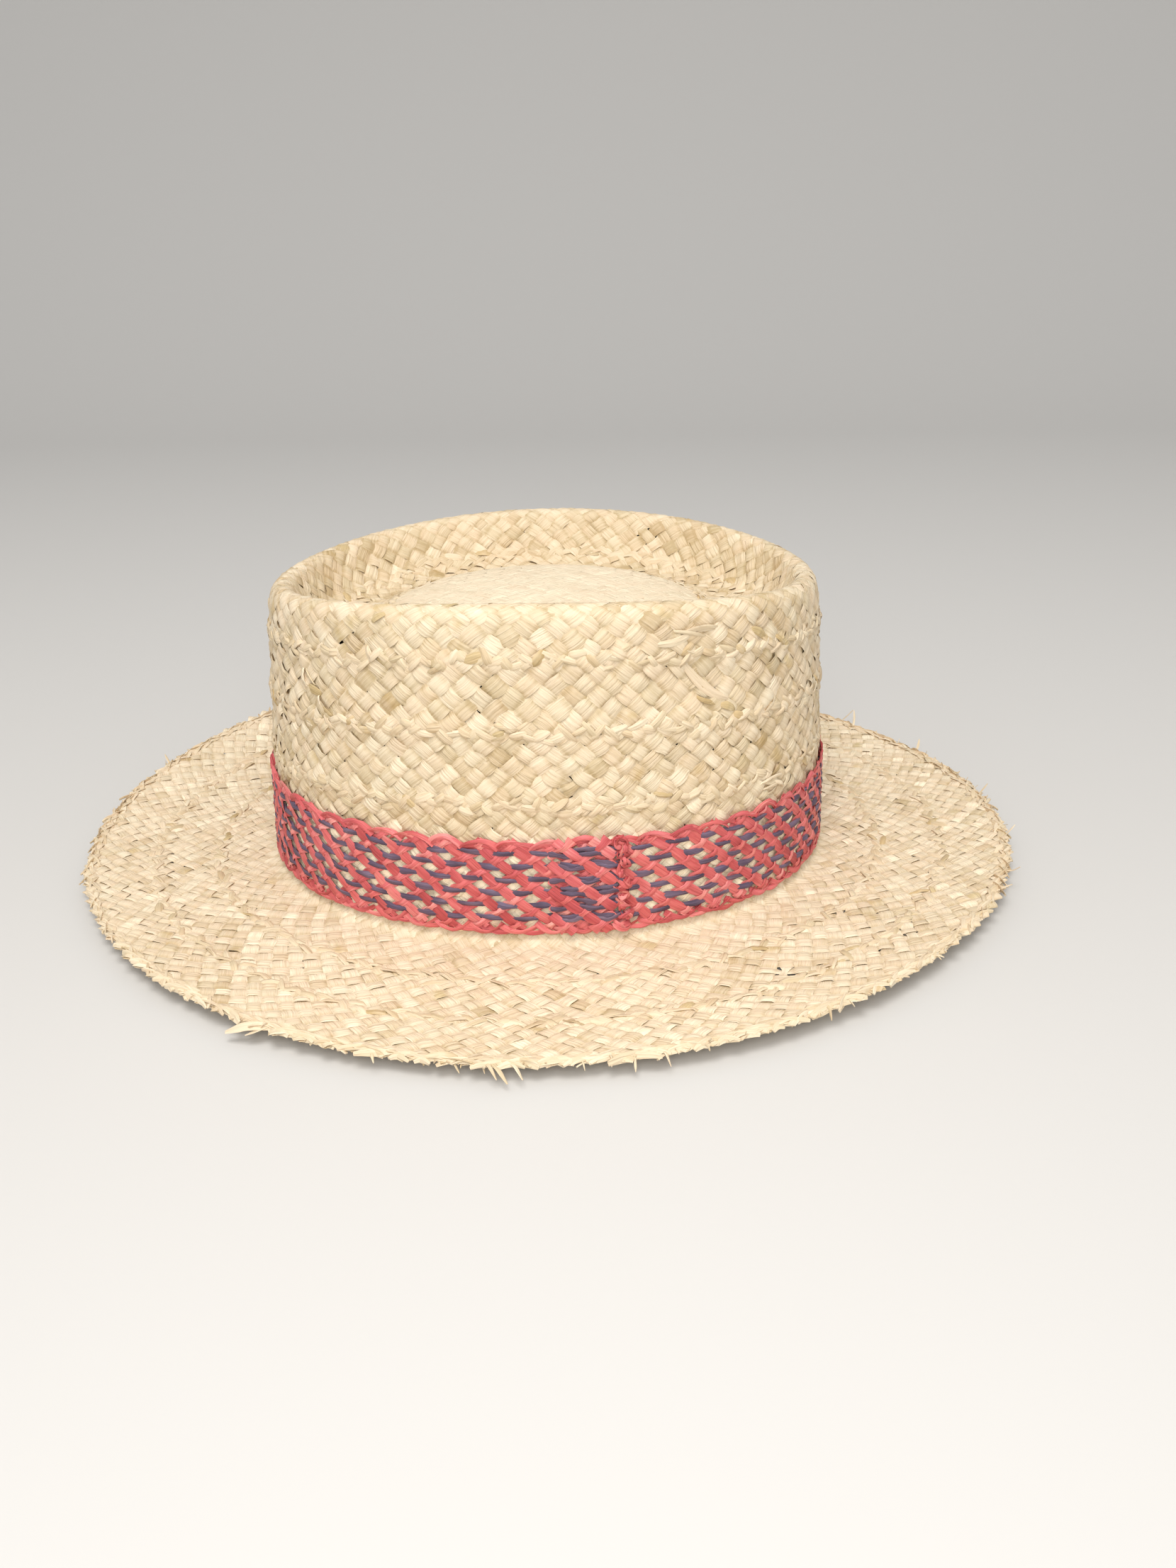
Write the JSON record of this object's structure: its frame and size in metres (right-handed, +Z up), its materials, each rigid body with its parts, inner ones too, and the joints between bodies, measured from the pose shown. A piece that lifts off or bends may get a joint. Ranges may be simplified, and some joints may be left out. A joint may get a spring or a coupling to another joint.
{
  "type": "straw hat with telescope crown and plaited band",
  "caption": "Oval hand-woven straw hat: telescope crown, flat brim with frayed edge, openwork plaited band in red and navy.",
  "frame": {"origin": "on the table, under the middle of the brim's outline", "axes": "+Z up, X along the oval crown with the wearer's front at -X, -Y to the wearer's left, where the band is joined"},
  "size_m": [0.3402, 0.31, 0.1122],
  "materials": {
    "straw": "woven natural straw, matt with a faint sheen on each strip",
    "red_straw": "dyed red straw plaited with navy strands, matt"
  },
  "bodies": {
    "root": {"crown": "straw", "brim": "straw", "hat_band": "red_straw", "band_join": "red_straw"}
  },
  "joints": []
}
